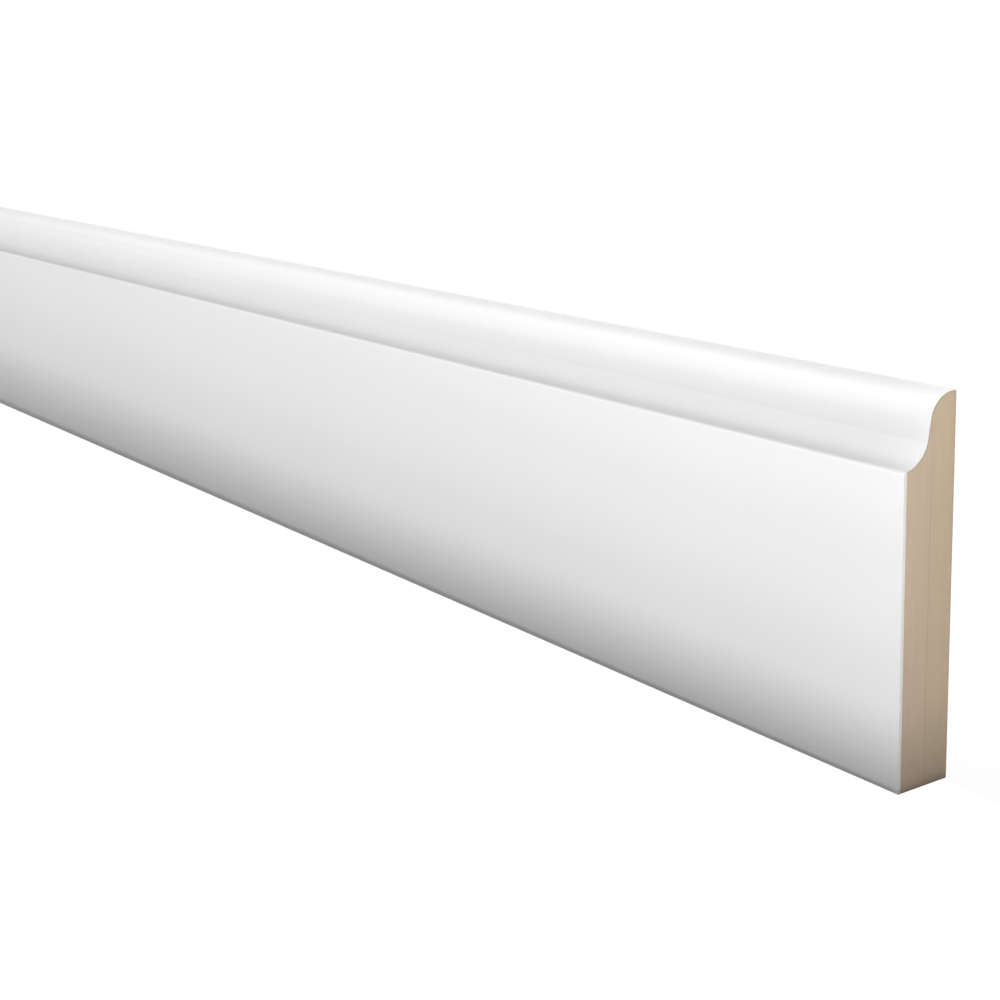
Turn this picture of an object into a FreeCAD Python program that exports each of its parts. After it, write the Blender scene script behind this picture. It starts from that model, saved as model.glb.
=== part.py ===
import FreeCAD, Part
import math
import os
import Sketcher

# Skirting board length: one moulded board with an ogee along its upper edge.
# It lies on its flat back with the moulded face up. X runs along the length, Y runs from the
# floor edge (-Y) to the moulded top edge (+Y), and Z is the distance in front of the wall face.
# The origin is the centre of the back. Lengths are in millimetres and angles in degrees.

# Driving sizes: the alias, its value and what it measures.
SIZES = (
    ("board_length", 2400, "length as sold"),
    ("board_height", 119, "height on the wall, from the floor edge to the top edge"),
    ("board_thickness", 20.5, "from the back to the plain face"),
    ("ogee_drop", 21.1, "from the top edge down to the arris that ends the plain face"),
    ("top_land", 1.7, "flat left along the top edge, next to the wall"),
    ("crown_radius", 8.7, "round nose below the top edge"),
    ("flank_slope", 9.5, "lean of the straight flank between nose and hollow, from the plain face"),
    ("hollow_lead_in", 4.3, "climb of the hollow where it leaves the arris, from square to the face"),
    ("arris_radius", 0.8, "easing of the arris between the plain face and the hollow"),
)


def make_sizes(doc):
    """Put the driving sizes in a sheet, one row each, and name every value cell."""
    sheet = doc.addObject("Spreadsheet::Sheet", "sizes")
    for row, (alias, value, meaning) in enumerate(SIZES, start=1):
        sheet.set(f"A{row}", alias)
        sheet.set(f"B{row}", str(value))
        sheet.set(f"C{row}", meaning)
        sheet.setAlias(f"B{row}", alias)
    doc.recompute()
    return sheet


def origin_plane(body, role):
    """Return the body's own origin plane that has this role."""
    for feature in body.Origin.OriginFeatures:
        if feature.Role == role:
            return feature
    raise ValueError(f"the body has no {role}")


def ogee_start_shape(sheet):
    """Work out where the hollow, the flank and the nose meet, for the sketch to start from.

    The hollow leaves the arris at the lead-in angle, the nose ends square to the top land, and
    the flank touches both. The hollow's radius and the flank's length are what closes the line.
    """
    slope = math.radians(sheet.flank_slope)
    lead_in = math.radians(sheet.hollow_lead_in)
    run = sheet.board_thickness - sheet.top_land
    drop_left = sheet.ogee_drop - sheet.crown_radius * (1 - math.sin(slope))
    run_left = run - sheet.crown_radius * math.cos(slope)
    hollow_run = math.cos(slope) - math.sin(lead_in)
    hollow_drop = math.cos(lead_in) - math.sin(slope)
    closing = hollow_run * math.cos(slope) - hollow_drop * math.sin(slope)
    hollow_radius = (math.cos(slope) * run_left - math.sin(slope) * drop_left) / closing

    top_edge = sheet.board_height / 2
    arris = FreeCAD.Vector(top_edge - sheet.ogee_drop, sheet.board_thickness, 0)
    out_of_arris = FreeCAD.Vector(math.cos(lead_in), math.sin(lead_in), 0)
    hollow_centre = arris + out_of_arris * hollow_radius
    nose_centre = FreeCAD.Vector(top_edge - sheet.crown_radius, sheet.top_land, 0)
    off_flank = FreeCAD.Vector(math.sin(slope), math.cos(slope), 0)
    return {
        "arris": arris,
        "hollow_centre": hollow_centre,
        "hollow_radius": hollow_radius,
        "flank_low": hollow_centre - off_flank * hollow_radius,
        "flank_high": nose_centre + off_flank * sheet.crown_radius,
        "nose_centre": nose_centre,
    }


def draw_section(body, sheet):
    """Draw the board's section, looking along its length: x is its height and y its thickness."""
    sketch = body.newObject("Sketcher::SketchObject", "section")
    sketch.AttachmentSupport = (origin_plane(body, "YZ_Plane"), [""])
    sketch.MapMode = "FlatFace"

    half_height = sheet.board_height / 2
    slope = math.radians(sheet.flank_slope)
    lead_in = math.radians(sheet.hollow_lead_in)
    ogee = ogee_start_shape(sheet)
    out_of_plane = FreeCAD.Vector(0, 0, 1)
    floor_back = FreeCAD.Vector(-half_height, 0, 0)
    floor_front = FreeCAD.Vector(-half_height, sheet.board_thickness, 0)
    top_front = FreeCAD.Vector(half_height, sheet.top_land, 0)
    top_back = FreeCAD.Vector(half_height, 0, 0)

    back = sketch.addGeometry(Part.LineSegment(floor_back, top_back), False)
    floor_edge = sketch.addGeometry(Part.LineSegment(floor_back, floor_front), False)
    face = sketch.addGeometry(Part.LineSegment(floor_front, ogee["arris"]), False)
    hollow_circle = Part.Circle(ogee["hollow_centre"], out_of_plane, ogee["hollow_radius"])
    hollow = sketch.addGeometry(
        Part.ArcOfCircle(hollow_circle, math.pi + lead_in, 1.5 * math.pi - slope), False
    )
    flank = sketch.addGeometry(Part.LineSegment(ogee["flank_low"], ogee["flank_high"]), False)
    nose_circle = Part.Circle(ogee["nose_centre"], out_of_plane, float(sheet.crown_radius))
    nose = sketch.addGeometry(Part.ArcOfCircle(nose_circle, 0, 0.5 * math.pi - slope), False)
    land = sketch.addGeometry(Part.LineSegment(top_front, top_back), False)
    # A construction line from the arris to the centre of the hollow carries the lead-in angle.
    hollow_spoke = sketch.addGeometry(Part.LineSegment(ogee["arris"], ogee["hollow_centre"]), True)

    start, end, centre = 1, 2, 3
    origin_point = (-1, 1)
    joins = (
        ("Coincident", back, start, floor_edge, start),
        ("Coincident", floor_edge, end, face, start),
        ("Coincident", face, end, hollow, start),
        ("Tangent", hollow, end, flank, start),
        ("Tangent", flank, end, nose, end),
        ("Tangent", nose, start, land, start),
        ("Coincident", land, end, back, end),
        ("Coincident", hollow_spoke, start, hollow, start),
        ("Coincident", hollow_spoke, end, hollow, centre),
        ("Horizontal", back),
        ("Symmetric", back, start, back, end, *origin_point),
        ("Vertical", floor_edge),
        ("Horizontal", face),
        ("Vertical", land),
    )
    for join in joins:
        sketch.addConstraint(Sketcher.Constraint(*join))

    dimensions = (
        ("board_height", ("DistanceX", back, start, back, end, float(sheet.board_height))),
        ("board_thickness", ("DistanceY", floor_edge, start, floor_edge, end, float(sheet.board_thickness))),
        ("ogee_drop", ("DistanceX", face, end, back, end, float(sheet.ogee_drop))),
        ("top_land", ("DistanceY", land, end, land, start, float(sheet.top_land))),
        ("crown_radius", ("Radius", nose, float(sheet.crown_radius))),
        ("hollow_lead_in", ("Angle", hollow_spoke, lead_in)),
        ("flank_slope", ("Angle", flank, start, back, start, slope)),
    )
    for alias, dimension in dimensions:
        index = sketch.addConstraint(Sketcher.Constraint(*dimension))
        sketch.renameConstraint(index, alias)
        sketch.setExpression(f"Constraints.{alias}", f"sizes.{alias}")
    return sketch


def find_arris(shape, sheet):
    """Name the long edge where the plain face meets the hollow."""
    along_height = sheet.board_height / 2 - sheet.ogee_drop
    target = FreeCAD.Vector(0, along_height, sheet.board_thickness)
    distances = [edge.CenterOfMass.distanceToPoint(target) for edge in shape.Edges]
    return f"Edge{distances.index(min(distances)) + 1}"


def make_board(doc, sheet):
    """Run the section along the board's length and ease the arris."""
    body = doc.addObject("PartDesign::Body", "skirting_board")
    body.Label = "skirting_board"
    section = draw_section(body, sheet)
    doc.recompute()

    run = body.newObject("PartDesign::Pad", "run")
    run.Profile = section
    run.SideType = "Symmetric"
    run.setExpression("Length", "sizes.board_length")
    section.Visibility = False
    doc.recompute()

    easing = body.newObject("PartDesign::Fillet", "arris_easing")
    easing.Base = (run, [find_arris(run.Shape, sheet)])
    easing.setExpression("Radius", "sizes.arris_radius")
    body.Tip = easing
    doc.recompute()
    return body


def check(doc, body):
    """Stop if any object failed, the section is loose or the board isn't one sound solid."""
    for item in doc.Objects:
        if "Invalid" in item.State or "Error" in item.State:
            raise RuntimeError(f"{item.Name} failed: {item.State}")
    section = doc.getObject("section")
    if section.solve() != 0 or not section.FullyConstrained:
        raise RuntimeError("the section isn't fully constrained")
    shape = body.Shape
    if shape.isNull() or not shape.isValid() or len(shape.Solids) != 1:
        raise RuntimeError("the board isn't one valid solid")


def main():
    doc = FreeCAD.newDocument("skirting_board_length")
    sheet = make_sizes(doc)
    board = make_board(doc, sheet)
    check(doc, board)
    os.makedirs("parts", exist_ok=True)
    board.Shape.exportStep(f"parts/{board.Label}.step")
    box = board.Shape.BoundBox
    print(f"{board.Label}: {box.XLength:.2f} x {box.YLength:.2f} x {box.ZLength:.2f} mm")
    print(f"volume {board.Shape.Volume:.1f} cubic millimetres")


main()
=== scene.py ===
import math

import bpy
from mathutils import Matrix, Vector


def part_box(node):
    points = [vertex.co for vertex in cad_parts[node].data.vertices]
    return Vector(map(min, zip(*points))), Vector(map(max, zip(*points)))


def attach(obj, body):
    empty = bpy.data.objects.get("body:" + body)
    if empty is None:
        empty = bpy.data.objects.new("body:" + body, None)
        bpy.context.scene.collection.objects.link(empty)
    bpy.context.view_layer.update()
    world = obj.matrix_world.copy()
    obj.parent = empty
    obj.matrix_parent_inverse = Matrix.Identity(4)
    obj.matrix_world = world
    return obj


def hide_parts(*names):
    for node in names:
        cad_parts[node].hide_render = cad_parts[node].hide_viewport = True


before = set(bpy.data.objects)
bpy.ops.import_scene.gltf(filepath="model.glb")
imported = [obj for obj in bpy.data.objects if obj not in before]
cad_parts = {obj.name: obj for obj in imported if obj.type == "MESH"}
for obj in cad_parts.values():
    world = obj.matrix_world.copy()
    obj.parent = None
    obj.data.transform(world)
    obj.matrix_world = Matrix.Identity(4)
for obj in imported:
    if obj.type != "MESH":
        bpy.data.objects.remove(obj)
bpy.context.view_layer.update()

# The looks of one length of skirting: a white coated fibreboard moulding, lying on its back.
# Lengths are in metres. X runs along the board, +Y points at its moulded top edge and Z is up.

MM = 0.001

# The board's box comes from the frame, and the ogee's sizes repeat the ones it was cut to.
BOARD_LOW, BOARD_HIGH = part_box("skirting_board")
HALF_LENGTH = BOARD_HIGH.x
FLOOR_EDGE_Y = BOARD_LOW.y
TOP_EDGE_Y = BOARD_HIGH.y
FACE_Z = BOARD_HIGH.z
OGEE_DROP = 21.1 * MM
ARRIS_Y = TOP_EDGE_Y - OGEE_DROP
TOP_LAND = 1.7 * MM
CROWN_RADIUS = 8.7 * MM
FLANK_SLOPE = math.radians(9.5)
HOLLOW_LEAD_IN = math.radians(4.3)
ARRIS_RADIUS = 0.8 * MM

# Corners that the section leaves sharp are broken by this much where a tool or a hand passed.
FLOOR_CORNER_RADIUS = 0.45 * MM
BACK_CORNER_RADIUS = 0.25 * MM
CUT_EDGE_RADIUS = 0.12 * MM

# How many straight steps draw each kind of curve.
CORNER_STEPS = 5
ARRIS_STEPS = 10
OGEE_STEPS = 32
CUT_EDGE_STEPS = 3

# The coat shows on the cut as a line this wide, broad along the plain face and fine along the ogee.
FACE_COAT = 1.25 * MM
OGEE_COAT = 0.22 * MM

# The coat's colour times these: painted shade on the flank and painted light up the crown.
# Both are set to the shades in the photo. A thinner and a thicker coat would look so, but that
# cause is a guess.
FLANK_PAINTED_SHADE = 0.937
CROWN_PAINTED_LIGHT = 1.045

# The sheet's layers: its close-pressed skins, how far the layers stray from level, and its seams
# as shares of the thickness.
SKIN_DEPTH = 2.4 * MM
LAYER_WANDER = 0.35 * MM
MIDDLE_SEAM = 0.47
SECOND_SEAM = 0.405
SECOND_SEAM_STRENGTH = 0.6

COAT_COLOUR = (0.87, 0.87, 0.865)
# The arris colour is a painted highlight along the eased arris.
ARRIS_PAINTED_HIGHLIGHT = (0.945, 0.945, 0.94)
COAT_EDGE_COLOUR = (0.86, 0.84, 0.81)
CORE_COLOUR = (0.6, 0.482, 0.35)
SKIN_COLOUR = (0.605, 0.468, 0.35)
END_FRONT_COLOUR = (0.615, 0.492, 0.364)
END_BACK_COLOUR = (0.6, 0.486, 0.343)
RIM_COLOUR = (0.42, 0.34, 0.25)
FLECK_COLOUR = (0.3, 0.22, 0.15)
FLOOR_COLOUR = (0.8, 0.8, 0.8)
NEAR_BLACK = (0.01, 0.01, 0.01)

# Where the camera stands, from the middle of the near end's back edge, and which way it looks. The
# lens is in millimetres, on a sensor 36 wide.
CAMERA_PAST_END = 357.2 * MM
CAMERA_UP_THE_BOARD = 169.0 * MM
CAMERA_ABOVE_BACK = 395.1 * MM
SIGHT_OFF_LENGTH = math.radians(33.67)
SIGHT_TO_FLOOR_EDGE = math.radians(14.87)
PICTURE_ROLL = math.radians(2.13)
LENS = 66.83


def camera_in_place():
    """The photo's view: past the near end, over the face, looking back along the board."""
    sight = Vector((
        -math.cos(SIGHT_TO_FLOOR_EDGE) * math.cos(SIGHT_OFF_LENGTH),
        -math.sin(SIGHT_TO_FLOOR_EDGE),
        -math.cos(SIGHT_TO_FLOOR_EDGE) * math.sin(SIGHT_OFF_LENGTH),
    ))
    level = sight.cross(Vector((0, 1, 0))).normalized()
    up = level.cross(sight).normalized()
    picture_right = level * math.cos(PICTURE_ROLL) - up * math.sin(PICTURE_ROLL)
    picture_up = up * math.cos(PICTURE_ROLL) + level * math.sin(PICTURE_ROLL)
    data = bpy.data.cameras.new("camera")
    data.sensor_width = 36
    data.lens = LENS
    data.clip_start = 0.01
    data.clip_end = 100
    camera = bpy.data.objects.new("camera", data)
    camera.matrix_world = Matrix((
        (picture_right.x, picture_up.x, -sight.x, HALF_LENGTH + CAMERA_PAST_END),
        (picture_right.y, picture_up.y, -sight.y, CAMERA_UP_THE_BOARD),
        (picture_right.z, picture_up.z, -sight.z, CAMERA_ABOVE_BACK),
        (0, 0, 0, 1),
    ))
    bpy.context.scene.collection.objects.link(camera)
    bpy.context.scene.camera = camera


camera_in_place()

# The section is a closed run of points, from the floor edge's back corner over the face to the
# top edge. Each point carries the way it faces, so the run can be drawn in and shades as curves,
# and the finish of the strip between it and the next point.

WHITE, BARE, SAWN = range(3)


def arc_points(centre, radius, start, end, steps, finish, hollow=False):
    """Points from angle start to angle end. A hollow faces its own centre."""
    points = []
    for step in range(steps + 1):
        angle = start + (end - start) * step / steps
        out = Vector((math.cos(angle), math.sin(angle)))
        points.append([centre + out * radius, -out if hollow else out, finish])
    return points


def broken_corner(corner, radius, start, finish):
    """A square corner taken off by a quarter round that starts facing the angle start."""
    end = start - math.pi / 2
    facing = Vector((math.cos(start), math.sin(start))) + Vector((math.cos(end), math.sin(end)))
    return arc_points(corner - facing * radius, radius, start, end, CORNER_STEPS, finish)


def ogee_centres():
    """The centres of the hollow and the crown, and the hollow's radius, from the sizes set above."""
    run_left = FACE_Z - TOP_LAND - CROWN_RADIUS * math.cos(FLANK_SLOPE)
    drop_left = OGEE_DROP - CROWN_RADIUS * (1 - math.sin(FLANK_SLOPE))
    hollow_run = math.cos(FLANK_SLOPE) - math.sin(HOLLOW_LEAD_IN)
    hollow_drop = math.cos(HOLLOW_LEAD_IN) - math.sin(FLANK_SLOPE)
    closing = hollow_run * math.cos(FLANK_SLOPE) - hollow_drop * math.sin(FLANK_SLOPE)
    hollow_radius = (math.cos(FLANK_SLOPE) * run_left - math.sin(FLANK_SLOPE) * drop_left) / closing
    lead_in = Vector((math.cos(HOLLOW_LEAD_IN), math.sin(HOLLOW_LEAD_IN)))
    hollow_centre = Vector((ARRIS_Y, FACE_Z)) + lead_in * hollow_radius
    crown_centre = Vector((TOP_EDGE_Y - CROWN_RADIUS, TOP_LAND))
    return hollow_centre, hollow_radius, crown_centre


HOLLOW_CENTRE, HOLLOW_RADIUS, CROWN_CENTRE = ogee_centres()
HOLLOW_FOOT_Y = HOLLOW_CENTRE.x - HOLLOW_RADIUS * math.sin(FLANK_SLOPE)


def section_points():
    """The whole run: floor edge, plain face, arris, hollow, flank, crown and top edge."""
    square = math.pi / 2
    # The eased arris touches the face and the hollow: its centre is one radius under the face.
    arris_z = FACE_Z - ARRIS_RADIUS
    reach = HOLLOW_RADIUS + ARRIS_RADIUS
    arris_y = HOLLOW_CENTRE.x - math.sqrt(reach**2 - (HOLLOW_CENTRE.y - arris_z) ** 2)
    meets_hollow = math.atan2(HOLLOW_CENTRE.y - arris_z, HOLLOW_CENTRE.x - arris_y)

    points = broken_corner(Vector((FLOOR_EDGE_Y, 0)), BACK_CORNER_RADIUS, -square, BARE)
    points += broken_corner(Vector((FLOOR_EDGE_Y, FACE_Z)), FLOOR_CORNER_RADIUS, 2 * square, WHITE)
    eased = Vector((arris_y, arris_z))
    points += arc_points(eased, ARRIS_RADIUS, square, meets_hollow, ARRIS_STEPS, WHITE)
    # The hollow's first point is the eased arris's last one.
    enters, leaves = math.pi + meets_hollow, 3 * square - FLANK_SLOPE
    hollow = arc_points(HOLLOW_CENTRE, HOLLOW_RADIUS, enters, leaves, OGEE_STEPS, WHITE, hollow=True)
    points += hollow[1:]
    points += arc_points(CROWN_CENTRE, CROWN_RADIUS, square - FLANK_SLOPE, 0, OGEE_STEPS, WHITE)
    points += broken_corner(Vector((TOP_EDGE_Y, 0)), BACK_CORNER_RADIUS, 0, BARE)
    return points


def build_board():
    """The section run along X, with its ends cut square and the edge round each cut just broken."""
    outline = section_points()
    count = len(outline)
    vertices, normals, faces, finishes = [], [], [], []

    def add_ring(towards, turn):
        """One run round the section near an end. At turn 0 it faces out, at a right angle along X."""
        drawn_in = CUT_EDGE_RADIUS * (1 - math.cos(turn))
        x = HALF_LENGTH - CUT_EDGE_RADIUS * (1 - math.sin(turn))
        first = len(vertices)
        for place, out, _ in outline:
            moved = place - out * drawn_in
            vertices.append((towards * x, moved.x, moved.y))
            side = out * math.cos(turn)
            normals.append((towards * math.sin(turn), side.x, side.y))
        return first

    turns = [math.pi / 2 * step / CUT_EDGE_STEPS for step in range(CUT_EDGE_STEPS + 1)]
    rings = [add_ring(-1, turn) for turn in reversed(turns)] + [add_ring(1, turn) for turn in turns]
    for near, far in zip(rings, rings[1:]):
        for index in range(count):
            following = (index + 1) % count
            faces.append((near + index, far + index, far + following, near + following))
            finishes.append(outline[index][2])

    for first, order in ((rings[0], 1), (rings[-1], -1)):
        faces.append(tuple(range(first, first + count))[::order])
        finishes.append(SAWN)

    mesh = bpy.data.meshes.new("skirting_board_finished")
    mesh.from_pydata(vertices, [], faces)
    mesh.polygons.foreach_set("material_index", finishes)
    mesh.shade_smooth()
    mesh.normals_split_custom_set_from_vertices(normals)
    board = bpy.data.objects.new("skirting_board_finished", mesh)
    bpy.context.scene.collection.objects.link(board)
    return board


# Materials. Every pattern is worked out in the board's own coordinates, in metres.


def add_node(tree, kind, sockets=None, **settings):
    """Add a node. Each socket is given a value, or another node's output to take it from."""
    node = tree.nodes.new(kind)
    for name, setting in settings.items():
        setattr(node, name, setting)
    for name, value in (sockets or {}).items():
        if isinstance(value, bpy.types.NodeSocket):
            tree.links.new(value, node.inputs[name])
        else:
            node.inputs[name].default_value = value
    return node


def maths(tree, operation, *values):
    """The result of one sum, of numbers or of other nodes' outputs."""
    return add_node(tree, "ShaderNodeMath", dict(enumerate(values)), operation=operation).outputs[0]


def ramp(tree, value, low, high, to_low=0.0, to_high=1.0):
    """A smooth change from to_low to to_high while the value goes from low to high."""
    return add_node(tree, "ShaderNodeMapRange", {
        "Value": value, "From Min": low, "From Max": high, "To Min": to_low, "To Max": to_high,
    }, interpolation_type="SMOOTHSTEP").outputs["Result"]


def spread(tree, value, to_low, to_high):
    """A noise, which seldom leaves the middle of 0 to 1, spread from to_low to to_high."""
    seldom_under, seldom_over = 0.2, 0.8
    return ramp(tree, value, seldom_under, seldom_over, to_low, to_high)


def mixed(tree, share, first, second):
    """This share of the first value, and the rest of the second."""
    rest = maths(tree, "MULTIPLY", second, 1 - share)
    return maths(tree, "ADD", maths(tree, "MULTIPLY", first, share), rest)


def blend(tree, share, first, second, mode="MIX"):
    """Mix two colours. The Mix node keeps its colour sockets at these places."""
    share_socket, first_socket, second_socket, colour_output = 0, 6, 7, 2
    sockets = {share_socket: share, first_socket: first, second_socket: second}
    node = add_node(tree, "ShaderNodeMix", sockets, data_type="RGBA", blend_type=mode)
    return node.outputs[colour_output]


def noise(tree, place, size, detail=2.0, roughness=0.5):
    """Even noise from 0 to 1, with features about as large as size."""
    sockets = {"Vector": place, "Scale": 1 / size, "Detail": detail, "Roughness": roughness}
    return add_node(tree, "ShaderNodeTexNoise", sockets).outputs["Fac"]


def stretched(tree, place, factors):
    """The same place with each axis scaled, which draws a pattern out along the small ones."""
    sockets = {0: place, 1: factors}
    return add_node(tree, "ShaderNodeVectorMath", sockets, operation="MULTIPLY").outputs[0]


def split(tree, place):
    """The X, Y and Z of a place."""
    return add_node(tree, "ShaderNodeSeparateXYZ", {"Vector": place}).outputs


def own_place(tree):
    """Where a point of the board lies in the board's own coordinates."""
    return tree.nodes.new("ShaderNodeTexCoord").outputs["Object"]


def new_group(name, inputs, outputs):
    """A shader node group, and the sockets inside it that bring values in and take them out."""
    group = bpy.data.node_groups.new(name, "ShaderNodeTree")
    group.interface.new_socket("Place", in_out="INPUT", socket_type="NodeSocketVector")
    for label, start in inputs.items():
        socket = group.interface.new_socket(label, in_out="INPUT", socket_type="NodeSocketFloat")
        socket.default_value = start
    for label in outputs:
        group.interface.new_socket(label, in_out="OUTPUT", socket_type="NodeSocketFloat")
    given = group.nodes.new("NodeGroupInput").outputs
    wanted = group.nodes.new("NodeGroupOutput").inputs
    return group, given, wanted


def use_group(tree, group, sockets):
    """Place a group in a material with its own values, and give its outputs."""
    return add_node(tree, "ShaderNodeGroup", sockets, node_tree=group).outputs


def make_fine_fibre():
    """Pressed wood fibre: a soft mottle, with a few short dark fibres that lie flat in the sheet."""
    group, given, wanted = new_group(
        "fine_fibre", {"Fibre Size": 0.5 * MM, "Dark Fibres": 0.5}, ("Tone", "Dark Fibre", "Height")
    )
    lies_flat, cell_scale = (1, 1, 2.6), 0.45
    flat = stretched(group, given["Place"], lies_flat)
    scale = maths(group, "DIVIDE", 1, given["Fibre Size"])
    mottle = add_node(group, "ShaderNodeTexNoise", {
        "Vector": flat, "Scale": scale, "Detail": 4, "Roughness": 0.62, "Distortion": 0.4,
    }).outputs["Fac"]
    cloud = noise(group, flat, size=9 * MM, detail=3)
    # A dark fibre is the middle of a cell, in about a quarter of the cells.
    cells = add_node(group, "ShaderNodeTexVoronoi", {
        "Vector": flat, "Scale": maths(group, "MULTIPLY", scale, cell_scale), "Randomness": 1,
    }).outputs
    speck = ramp(group, cells["Distance"], 0.1, 0.24, 1, 0)
    chosen = ramp(group, split(group, cells["Color"])["X"], 0.7, 0.76)
    dark = maths(group, "MULTIPLY", maths(group, "MULTIPLY", speck, chosen), given["Dark Fibres"])
    group.links.new(mixed(group, 0.7, mottle, cloud), wanted["Tone"])
    group.links.new(dark, wanted["Dark Fibre"])
    group.links.new(mottle, wanted["Height"])
    return group


def make_pressed_layers():
    """The sheet's layers, seen on an edge: close-pressed skins, faint bands and two seams."""
    group, given, wanted = new_group(
        "pressed_layers", {"Seam Width": 0.3 * MM}, ("Skin", "Band", "Seam")
    )
    place = given["Place"]
    in_sheet = stretched(group, place, (1, 1, 0))
    wander = noise(group, in_sheet, size=45 * MM, detail=3)
    off_level = spread(group, wander, -LAYER_WANDER, LAYER_WANDER)
    level = maths(group, "ADD", split(group, place)["Z"], off_level)
    front = ramp(group, level, FACE_Z - SKIN_DEPTH, FACE_Z)
    back = ramp(group, level, 0, SKIN_DEPTH, 1, 0)
    group.links.new(maths(group, "MAXIMUM", front, back), wanted["Skin"])

    layered = stretched(group, place, (0.03, 0.03, 1))
    broad = noise(group, layered, size=1.6 * MM, detail=2)
    narrow = noise(group, layered, size=0.45 * MM, detail=1)
    group.links.new(mixed(group, 0.65, broad, narrow), wanted["Band"])

    def seam(height, strength):
        """A line at this height, strongest along its middle."""
        off_line = maths(group, "ABSOLUTE", maths(group, "SUBTRACT", level, height))
        line = maths(group, "SUBTRACT", 1, maths(group, "DIVIDE", off_line, given["Seam Width"]))
        return maths(group, "MULTIPLY", maths(group, "MAXIMUM", line, 0), strength)

    # The middle seam runs right through, and the second fades in and out beside it.
    fade = ramp(group, noise(group, in_sheet, size=70 * MM, detail=1), 0.35, 0.65)
    middle = seam(MIDDLE_SEAM * FACE_Z, 1)
    second = seam(SECOND_SEAM * FACE_Z, maths(group, "MULTIPLY", fade, SECOND_SEAM_STRENGTH))
    group.links.new(maths(group, "MAXIMUM", middle, second), wanted["Seam"])
    return group


def make_run_marks():
    """Fine lines along the board from a cutter, a sander or a roller, with slow changes between."""
    group, given, wanted = new_group("run_marks", {"Mark Width": 0.5 * MM}, ("Tone", "Height"))
    drawn_out, drawn_out_less = (0.012, 1, 1), (0.15, 1, 1)
    drawn = stretched(group, given["Place"], drawn_out)
    scale = maths(group, "DIVIDE", 1, given["Mark Width"])
    lines = add_node(group, "ShaderNodeTexNoise", {
        "Vector": drawn, "Scale": scale, "Detail": 3, "Roughness": 0.6,
    }).outputs["Fac"]
    slow = noise(group, stretched(group, given["Place"], drawn_out_less), size=22 * MM, detail=2)
    group.links.new(mixed(group, 0.5, lines, slow), wanted["Tone"])
    group.links.new(lines, wanted["Height"])
    return group


def make_depth_in():
    """How deep a point of the section lies under the face and ogee, and under its nearest side."""
    group, given, wanted = new_group("depth_in", {}, ("Under Face", "Under Ogee", "Under Any"))
    axes = split(group, given["Place"])
    across, level = axes["Y"], axes["Z"]
    in_section = add_node(group, "ShaderNodeCombineXYZ", {"X": across, "Y": level}).outputs[0]

    def from_centre(centre):
        """How far a point is from this centre, in the section."""
        sockets = {0: in_section, 1: (centre.x, centre.y, 0)}
        return add_node(group, "ShaderNodeVectorMath", sockets, operation="DISTANCE").outputs["Value"]

    off_flank = Vector((math.sin(FLANK_SLOPE), math.cos(FLANK_SLOPE)))
    flank_low = HOLLOW_CENTRE - off_flank * HOLLOW_RADIUS
    flank_high = CROWN_CENTRE + off_flank * CROWN_RADIUS
    under_face = maths(group, "SUBTRACT", FACE_Z, level)
    under_hollow = maths(group, "SUBTRACT", from_centre(HOLLOW_CENTRE), HOLLOW_RADIUS)
    sockets = {0: in_section, 1: (off_flank.x, off_flank.y, 0)}
    along = add_node(group, "ShaderNodeVectorMath", sockets, operation="DOT_PRODUCT").outputs["Value"]
    under_flank = maths(group, "SUBTRACT", off_flank.dot(flank_low), along)
    under_crown = maths(group, "SUBTRACT", CROWN_RADIUS, from_centre(CROWN_CENTRE))

    def past(edge):
        """1 on the side of this edge where the top edge is."""
        return maths(group, "GREATER_THAN", across, edge)

    def switch(choice, first, second):
        """The first value, or the second where the choice is 1."""
        change = maths(group, "SUBTRACT", second, first)
        return maths(group, "ADD", first, maths(group, "MULTIPLY", choice, change))

    under_round = switch(past(flank_high.x), under_flank, under_crown)
    under_ogee = switch(past(flank_low.x), under_hollow, under_round)
    above_floor_edge = maths(group, "SUBTRACT", across, FLOOR_EDGE_Y)
    below_top_edge = maths(group, "SUBTRACT", TOP_EDGE_Y, across)
    under_front = maths(group, "MINIMUM", under_face, under_ogee)
    sides = maths(group, "MINIMUM", above_floor_edge, below_top_edge)
    under_any = maths(group, "MINIMUM", under_front, maths(group, "MINIMUM", sides, level))
    group.links.new(under_face, wanted["Under Face"])
    group.links.new(under_ogee, wanted["Under Ogee"])
    group.links.new(under_any, wanted["Under Any"])
    return group


FINE_FIBRE = make_fine_fibre()
PRESSED_LAYERS = make_pressed_layers()
RUN_MARKS = make_run_marks()
DEPTH_IN = make_depth_in()


def new_material(name):
    """A material, its nodes, and the shader among them."""
    material = bpy.data.materials.new(name)
    material.use_nodes = True
    tree = material.node_tree
    return material, tree, tree.nodes["Principled BSDF"]


def toned(tree, colour, value, low, high):
    """The colour times a noise that is spread from low to high."""
    return blend(tree, 1.0, colour, spread(tree, value, low, high), mode="MULTIPLY")


def darkened(tree, colour, mask, strength):
    """The colour, with the flecks' dark colour over it where the mask is."""
    return blend(tree, maths(tree, "MULTIPLY", mask, strength), colour, (*FLECK_COLOUR, 1))


def add_bump(tree, shader, height, depth):
    """Fine relief that goes depth deep where the height goes from 0 to 1."""
    node = add_node(tree, "ShaderNodeBump", {"Height": height, "Distance": depth, "Strength": 1})
    tree.links.new(node.outputs["Normal"], shader.inputs["Normal"])


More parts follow.
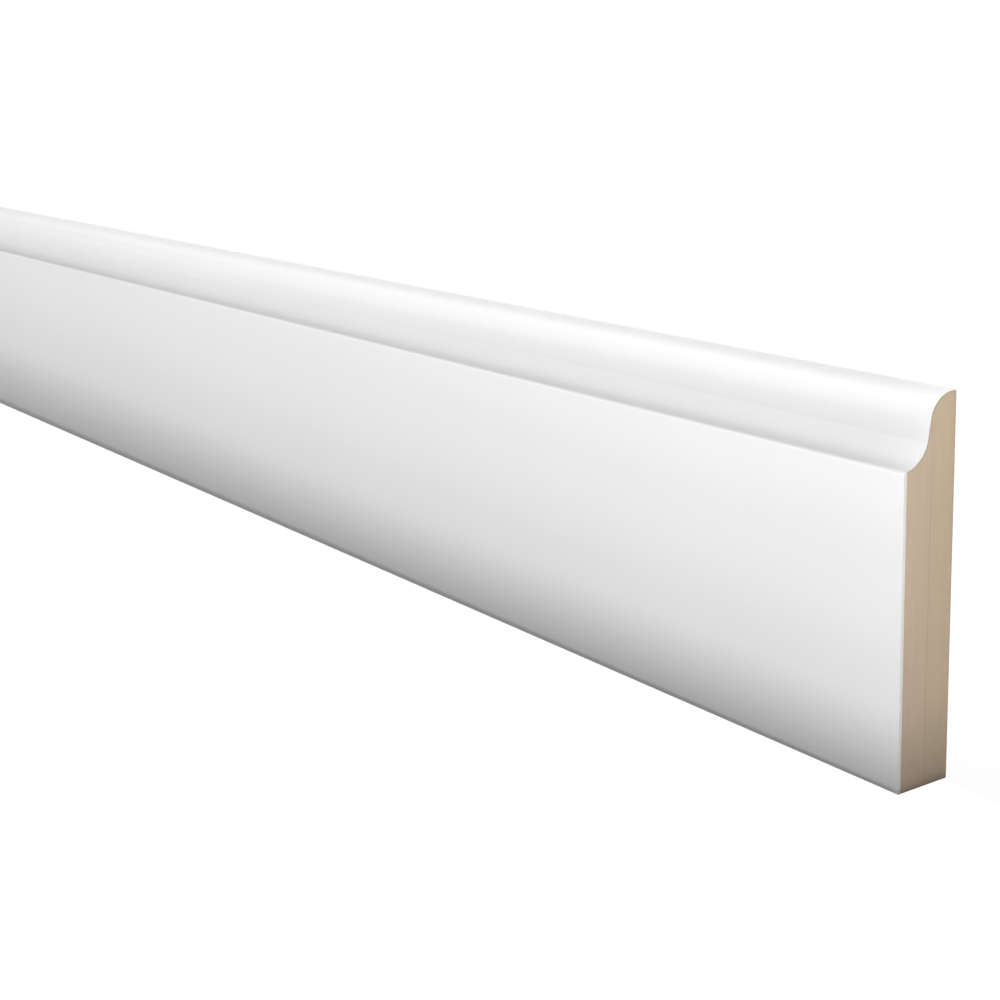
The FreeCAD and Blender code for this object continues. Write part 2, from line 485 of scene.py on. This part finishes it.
def make_white_coat():
    """Satin white with faint peel and run lines; painted shade on the flank, painted highlights."""
    material, tree, shader = new_material("white_coat")
    place = own_place(tree)
    marks = use_group(tree, RUN_MARKS, {"Place": place, "Mark Width": 1.4 * MM})
    fibre = use_group(tree, FINE_FIBRE, {"Place": place, "Fibre Size": 0.7 * MM})
    peel = noise(tree, place, size=1.9 * MM, detail=1.5, roughness=0.45)
    cloud = noise(tree, place, size=60 * MM, detail=2)

    colour = toned(tree, (*COAT_COLOUR, 1), cloud, 0.992, 1.006)
    colour = toned(tree, colour, marks["Tone"], 0.993, 1.005)
    colour = toned(tree, colour, fibre["Tone"], 0.994, 1.004)

    # Painted shade on the flank from a soft line by the hollow's foot, painted light up the crown.
    axes = split(tree, place)
    across, level = axes["Y"], axes["Z"]
    line_start, line_end = HOLLOW_FOOT_Y - 2 * MM, HOLLOW_FOOT_Y - 0.9 * MM
    crown_start, crown_end = TOP_EDGE_Y - 11 * MM, TOP_EDGE_Y + 2 * MM
    flank_painted_shade = ramp(tree, across, line_start, line_end, 1, FLANK_PAINTED_SHADE)
    crown_painted_light = ramp(tree, across, crown_start, crown_end, FLANK_PAINTED_SHADE, CROWN_PAINTED_LIGHT)
    painted_shade_and_light = maths(tree, "MAXIMUM", flank_painted_shade, crown_painted_light)
    colour = blend(tree, 1.0, colour, painted_shade_and_light, mode="MULTIPLY")

    # A painted highlight: a line along the arris is lighter, as where the eased arris catches light.
    highlight_y, highlight_bottom = ARRIS_Y - 0.1 * MM, FACE_Z - 1.2 * MM
    highlight_core, highlight_reach = 0.4 * MM, 1.1 * MM
    off_arris_highlight = maths(tree, "ABSOLUTE", maths(tree, "SUBTRACT", across, highlight_y))
    near_face = maths(tree, "GREATER_THAN", level, highlight_bottom)
    arris_highlight = maths(tree, "MULTIPLY", ramp(tree, off_arris_highlight, highlight_core, highlight_reach, 1, 0), near_face)
    colour = blend(tree, arris_highlight, colour, (*ARRIS_PAINTED_HIGHLIGHT, 1))
    tree.links.new(colour, shader.inputs["Base Color"])

    roughness = spread(tree, peel, 0.4, 0.46)
    roughness = maths(tree, "ADD", roughness, spread(tree, marks["Tone"], -0.02, 0.03))
    tree.links.new(roughness, shader.inputs["Roughness"])

    marks_share, fibre_share = 0.22, 0.12
    height = maths(tree, "ADD", maths(tree, "MULTIPLY", marks["Height"], marks_share), peel)
    height = maths(tree, "ADD", maths(tree, "MULTIPLY", fibre["Height"], fibre_share), height)
    add_bump(tree, shader, height, depth=0.012 * MM)
    return material


def make_bare_board():
    """Sanded sheet face on the back, planed edge at the floor: the coat only just wraps onto them."""
    material, tree, shader = new_material("bare_board")
    place = own_place(tree)
    fibre = use_group(tree, FINE_FIBRE, {"Place": place, "Fibre Size": 0.55 * MM, "Dark Fibres": 0.8})
    layers = use_group(tree, PRESSED_LAYERS, {"Place": place, "Seam Width": 0.25 * MM})
    marks = use_group(tree, RUN_MARKS, {"Place": place, "Mark Width": 0.45 * MM})
    depth = use_group(tree, DEPTH_IN, {"Place": place})

    colour = blend(tree, layers["Skin"], (*CORE_COLOUR, 1), (*SKIN_COLOUR, 1))
    colour = toned(tree, colour, layers["Band"], 0.95, 1.04)
    colour = toned(tree, colour, fibre["Tone"], 0.9, 1.09)
    colour = toned(tree, colour, marks["Tone"], 0.95, 1.05)
    colour = darkened(tree, colour, fibre["Dark Fibre"], 0.55)
    colour = darkened(tree, colour, layers["Seam"], 0.22)

    # The coat ends in a ragged edge just past the corners.
    rag_depth, edge_start, edge_end, edge_cover = 1.5 * MM, -0.5 * MM, 0.3 * MM, 0.9
    rags = noise(tree, place, size=2.2 * MM, detail=4, roughness=0.65)
    from_coat = maths(tree, "MINIMUM", depth["Under Face"], depth["Under Ogee"])
    past_rags = maths(tree, "SUBTRACT", from_coat, maths(tree, "MULTIPLY", rags, rag_depth))
    coat = ramp(tree, past_rags, edge_start, edge_end, edge_cover, 0)
    colour = blend(tree, coat, colour, (*COAT_EDGE_COLOUR, 1))
    tree.links.new(colour, shader.inputs["Base Color"])

    tree.links.new(spread(tree, fibre["Tone"], 0.78, 0.9), shader.inputs["Roughness"])
    marks_share = 0.8
    height = maths(tree, "ADD", fibre["Height"], maths(tree, "MULTIPLY", marks["Height"], marks_share))
    add_bump(tree, shader, height, depth=0.03 * MM)
    return material


def make_sawn_end():
    """The square cut: pressed layers on edge, fuzzed fibre, and the coat as a line at the front."""
    material, tree, shader = new_material("sawn_end")
    place = own_place(tree)
    fibre = use_group(tree, FINE_FIBRE, {"Place": place, "Fibre Size": 0.42 * MM, "Dark Fibres": 0.5})
    layers = use_group(tree, PRESSED_LAYERS, {"Place": place, "Seam Width": 0.34 * MM})
    depth = use_group(tree, DEPTH_IN, {"Place": place})
    level = split(tree, place)["Z"]

    # The two halves differ a little, and the skins' colour shows in patches and near the back.
    seam_z, seam_reach = MIDDLE_SEAM * FACE_Z, 0.3 * MM
    front_half = ramp(tree, level, seam_z - seam_reach, seam_z + seam_reach)
    colour = blend(tree, front_half, (*END_BACK_COLOUR, 1), (*END_FRONT_COLOUR, 1))
    patch_cover, back_cover = 0.35, 0.55
    patches = noise(tree, stretched(tree, place, (1, 1, 2.5)), size=16 * MM, detail=2)
    patches = ramp(tree, patches, 0.35, 0.75, 0, patch_cover)
    colour = blend(tree, patches, colour, (*SKIN_COLOUR, 1))
    near_back = ramp(tree, level, 0.6 * MM, 3.2 * MM, back_cover, 0)
    colour = blend(tree, near_back, colour, (*SKIN_COLOUR, 1))
    colour = toned(tree, colour, layers["Band"], 0.955, 1.035)
    colour = toned(tree, colour, fibre["Tone"], 0.945, 1.055)
    colour = darkened(tree, colour, fibre["Dark Fibre"], 0.3)
    colour = darkened(tree, colour, layers["Seam"], 0.3)

    # The blade burnishes a dark rim round the cut.
    rim_core, rim_reach, rim_strength = 0.15 * MM, 1.1 * MM, 0.36
    rim = ramp(tree, depth["Under Any"], rim_core, rim_reach, rim_strength, 0)
    colour = blend(tree, rim, colour, (*RIM_COLOUR, 1))

    # The coat is a line along the front, with a slightly ragged inner side.
    rag_depth, face_fade, ogee_fade = 0.22 * MM, 0.15 * MM, 0.12 * MM
    rags = noise(tree, place, size=1.1 * MM, detail=3, roughness=0.6)
    ragged = maths(tree, "MULTIPLY", rags, rag_depth)
    under_face = maths(tree, "ADD", depth["Under Face"], ragged)
    under_ogee = maths(tree, "ADD", depth["Under Ogee"], ragged)
    coat_on_face = ramp(tree, under_face, FACE_COAT, FACE_COAT + face_fade, 1, 0)
    coat_on_ogee = ramp(tree, under_ogee, OGEE_COAT, OGEE_COAT + ogee_fade, 1, 0)
    coat = maths(tree, "MAXIMUM", coat_on_face, coat_on_ogee)
    colour = blend(tree, coat, colour, (*COAT_EDGE_COLOUR, 1))
    tree.links.new(colour, shader.inputs["Base Color"])

    coat_smooths, seam_share, band_share = 0.25, 0.5, 0.6
    roughness = spread(tree, fibre["Tone"], 0.82, 0.94)
    roughness = maths(tree, "SUBTRACT", roughness, maths(tree, "MULTIPLY", coat, coat_smooths))
    tree.links.new(roughness, shader.inputs["Roughness"])
    sunk = maths(tree, "MULTIPLY", layers["Seam"], seam_share)
    height = maths(tree, "SUBTRACT", fibre["Height"], sunk)
    height = maths(tree, "ADD", height, maths(tree, "MULTIPLY", layers["Band"], band_share))
    add_bump(tree, shader, height, depth=0.035 * MM)
    return material


board = build_board()
board.data.materials.append(make_white_coat())
board.data.materials.append(make_bare_board())
board.data.materials.append(make_sawn_end())
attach(board, "root")
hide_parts("skirting_board")

# The studio: a white floor, softboxes and dark cards that only the light meets.


def add_cards(name, corner_lists, colour):
    """Flat cards that take light from the board. The camera and reflections don't see them."""
    vertices = [corner for corners in corner_lists for corner in corners]
    faces = [tuple(range(first, first + 4)) for first in range(0, len(vertices), 4)]
    mesh = bpy.data.meshes.new(name)
    mesh.from_pydata(vertices, [], faces)
    cards = bpy.data.objects.new(name, mesh)
    bpy.context.scene.collection.objects.link(cards)
    material, _, shader = new_material(name)
    shader.inputs["Base Color"].default_value = (*colour, 1)
    shader.inputs["Roughness"].default_value = 1
    mesh.materials.append(material)
    cards.visible_camera = False
    cards.visible_glossy = False


def add_background_rays(tree):
    """1 for the rays that see the background: the camera's, reflections and what glass lets by."""
    path = tree.nodes.new("ShaderNodeLightPath")
    reflected = maths(tree, "MAXIMUM", path.outputs["Is Glossy Ray"], path.outputs["Is Transmission Ray"])
    return maths(tree, "MAXIMUM", path.outputs["Is Camera Ray"], reflected)


def build_floor():
    """A white floor that is nearly all glow to the camera, so it stays white and keeps the shadow."""
    half, glow_share, glow_strength = 6, 0.88, 1.07
    mesh = bpy.data.meshes.new("studio_floor")
    corners = [(-half, -half, 0), (half, -half, 0), (half, half, 0), (-half, half, 0)]
    mesh.from_pydata(corners, [], [(0, 1, 2, 3)])
    floor = bpy.data.objects.new("studio_floor", mesh)
    bpy.context.scene.collection.objects.link(floor)
    material, tree, shader = new_material("white_sweep")
    shader.inputs["Base Color"].default_value = (*FLOOR_COLOUR, 1)
    shader.inputs["Roughness"].default_value = 1
    glow = add_node(tree, "ShaderNodeEmission", {"Strength": glow_strength})
    share = maths(tree, "MULTIPLY", add_background_rays(tree), glow_share)
    mix = add_node(tree, "ShaderNodeMixShader", {0: share, 1: shader.outputs[0], 2: glow.outputs[0]})
    tree.links.new(mix.outputs[0], tree.nodes["Material Output"].inputs["Surface"])
    mesh.materials.append(material)


def build_dark_cards():
    """Dark cards that keep some of the light from the board, as a studio's flags do.

    One stands above the floor edge's front corner, tallest at the board's middle, with a low lip
    that leans over the board: they darken the foot of the face. Past the near end they reach the
    floor and darken the foot of the end. A third hangs beyond the top edge, where it shades the
    hollow and lets light under it to the crown.
    """
    gap, clearance, past_end, lip_height = 1 * MM, 0.5 * MM, 60 * MM, 3.5 * MM

    def over_floor_edge(inwards, up):
        """A place in the section, measured from just outside the floor edge's front corner."""
        return FLOOR_EDGE_Y - gap + inwards, FACE_Z + up

    def card(start, end, lower, start_upper, end_upper):
        """A card from start to end along the board, with its edges at these places in the section."""
        return [(start, *lower), (end, *lower), (end, *end_upper), (start, *start_upper)]

    foot = over_floor_edge(0, clearance)
    top = over_floor_edge(13 * MM, 45 * MM)
    middle_top = over_floor_edge(25 * MM, 81 * MM)
    lip = over_floor_edge(3.6 * MM, lip_height)
    middle_lip = over_floor_edge(6.8 * MM, lip_height)
    hung_foot = (TOP_EDGE_Y + 1.3 * MM, 17.6 * MM)
    hung_top = (TOP_EDGE_Y + 12 * MM, 35 * MM)

    far, middle, near = -HALF_LENGTH, 0, HALF_LENGTH
    beyond, off_cut, off_lip = near + past_end, near + clearance, near + lip_height
    (foot_y, _), (lip_y, lip_z) = foot, lip
    add_cards("dark_cards", [
        card(middle, beyond, foot, middle_top, top),
        card(far, middle, foot, top, middle_top),
        card(middle, near, foot, middle_lip, lip),
        card(far, middle, foot, lip, middle_lip),
        card(off_cut, beyond, (foot_y, 0), foot, foot),
        # The lip turns the corner of the near end here.
        [(off_cut, foot_y, 0), (off_lip, lip_y, 0), (off_lip, lip_y, lip_z), (off_cut, foot_y, lip_z)],
        card(far, near, hung_foot, hung_top, hung_top),
    ], NEAR_BLACK)


def add_softbox(name, place, target, size, power):
    """A softbox that faces its target and that the camera doesn't see."""
    data = bpy.data.lights.new(name, "AREA")
    data.shape = "RECTANGLE"
    data.size, data.size_y = size
    data.energy = power
    lamp = bpy.data.objects.new(name, data)
    lamp.location = place
    direction = Vector(target) - Vector(place)
    lamp.rotation_mode = "QUATERNION"
    lamp.rotation_quaternion = direction.to_track_quat("-Z", "Y")
    bpy.context.scene.collection.objects.link(lamp)
    lamp.visible_camera = False


def build_world(ambient):
    """Even light from all round, behind a background that looks white."""
    world = bpy.data.worlds.new("studio")
    bpy.context.scene.world = world
    world.use_nodes = True
    tree = world.node_tree
    strength = add_node(tree, "ShaderNodeMapRange", {
        "Value": add_background_rays(tree), "To Min": ambient, "To Max": 1,
    })
    background = tree.nodes["Background"]
    background.inputs["Color"].default_value = (1, 1, 1, 1)
    tree.links.new(strength.outputs["Result"], background.inputs["Strength"])


# The board is lit all along by long softboxes that face it from one distance, in pairs, one for
# each half of it. Each pair has its angle round the board, 0 past the top edge and 90 straight
# above, its distance along the board from the middle, its width across and its power.
LOW_ANGLE = 6
PAIRS = {
    "top_side_low": (LOW_ANGLE, 1.0, 0.5, 4.9),
    "top_side_high": (30, 1.6, 0.5, 4.0),
    "overhead": (90, 1.6, 1.0, 4.1),
    "floor_side_high": (128, 1.6, 0.5, 2.2),
    "floor_side_low": (150, 1.4, 0.5, 9.0),
}
SOFTBOX_LENGTH = 1.4
SOFTBOX_DISTANCE = 1.5

# One more fills in between the low pair past the top edge.
MIDDLE_WIDTH, MIDDLE_POWER = 0.5, 3.2

# One stands past each end and above it, and faces the cut.
END_DISTANCE, END_ASIDE, END_HEIGHT = 0.66, 0.05, 1.35
END_SIZE, END_POWER = (0.9, 1.0), 7.7

AMBIENT = 0.42


def add_long_softbox(name, along, angle, width, power):
    """A softbox at this place along the board and this angle round it."""
    turn = math.radians(angle)
    place = (along, SOFTBOX_DISTANCE * math.cos(turn), SOFTBOX_DISTANCE * math.sin(turn))
    add_softbox(name, place, (along, 0, 0), (SOFTBOX_LENGTH, width), power)


build_floor()
build_dark_cards()
build_world(AMBIENT)
add_long_softbox("middle_top_side_softbox", 0, LOW_ANGLE, MIDDLE_WIDTH, MIDDLE_POWER)
for half, end in (("near", 1), ("far", -1)):
    for side, (angle, apart, width, power) in PAIRS.items():
        add_long_softbox(f"{half}_{side}_softbox", end * apart, angle, width, power)
    place = (end * (HALF_LENGTH + END_DISTANCE), END_ASIDE, END_HEIGHT)
    add_softbox(f"{half}_end_softbox", place, (end * HALF_LENGTH, 0, 0), END_SIZE, END_POWER)

bpy.context.scene.view_settings.view_transform = "Standard"
